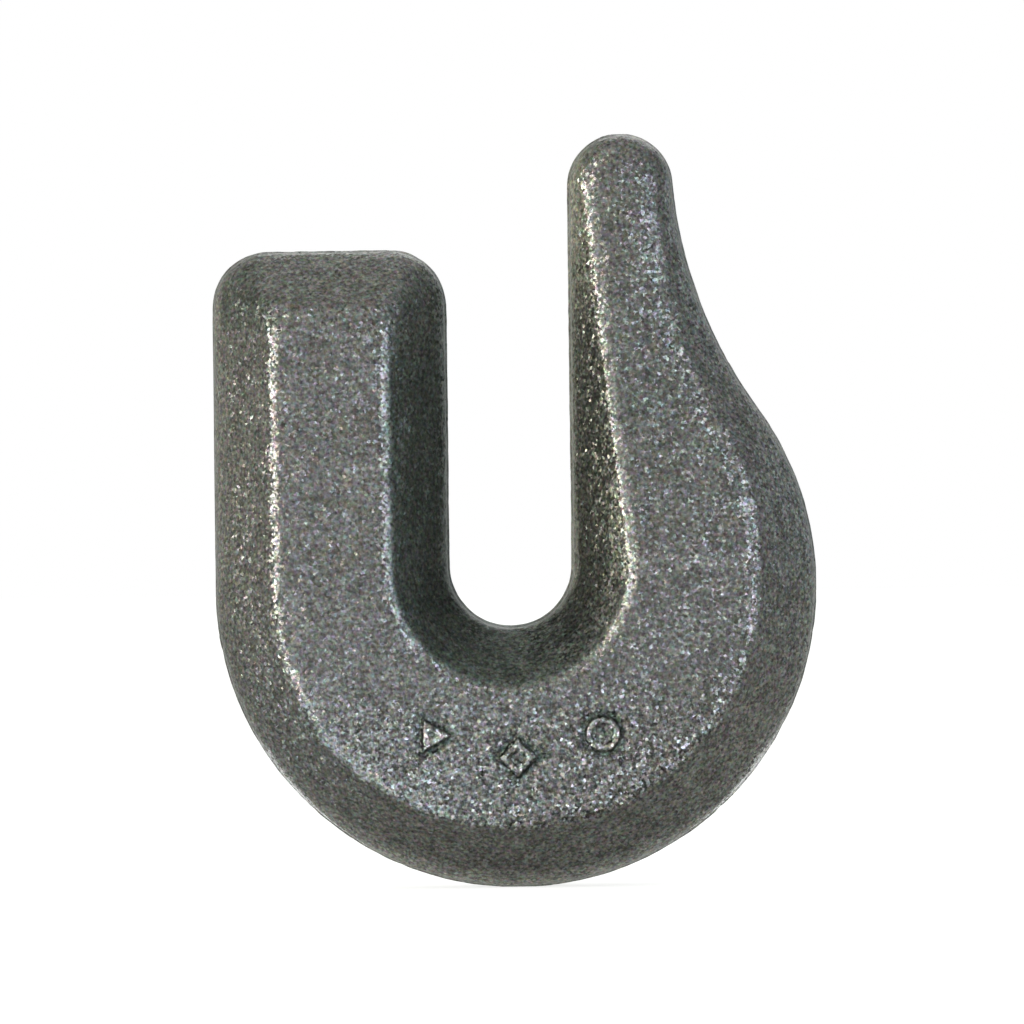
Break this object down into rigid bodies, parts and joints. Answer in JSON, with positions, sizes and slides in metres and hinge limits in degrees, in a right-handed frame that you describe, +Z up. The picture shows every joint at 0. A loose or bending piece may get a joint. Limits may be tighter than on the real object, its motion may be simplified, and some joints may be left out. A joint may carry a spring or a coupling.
{
  "type": "safety chain hook",
  "caption": "One-piece forged weld-on chain hook: short square-topped shank, U slot open at the top, round bowl and a taller tapering horn, bevelled all round.",
  "frame": {"origin": "centre of the flat outer side of the shank, the face that is welded to a bracket or frame", "axes": "+Z up, the way the slot opens; +X from the weld face across the slot to the horn; the face with the raised marks looks along -Y"},
  "size_m": [0.0588, 0.0194, 0.0735],
  "materials": {
    "forged_steel": "shot-blasted drop-forged carbon steel, uncoated dark grey with a fine sparkle"
  },
  "bodies": {
    "root": {"hook_body": "forged_steel"}
  },
  "joints": []
}
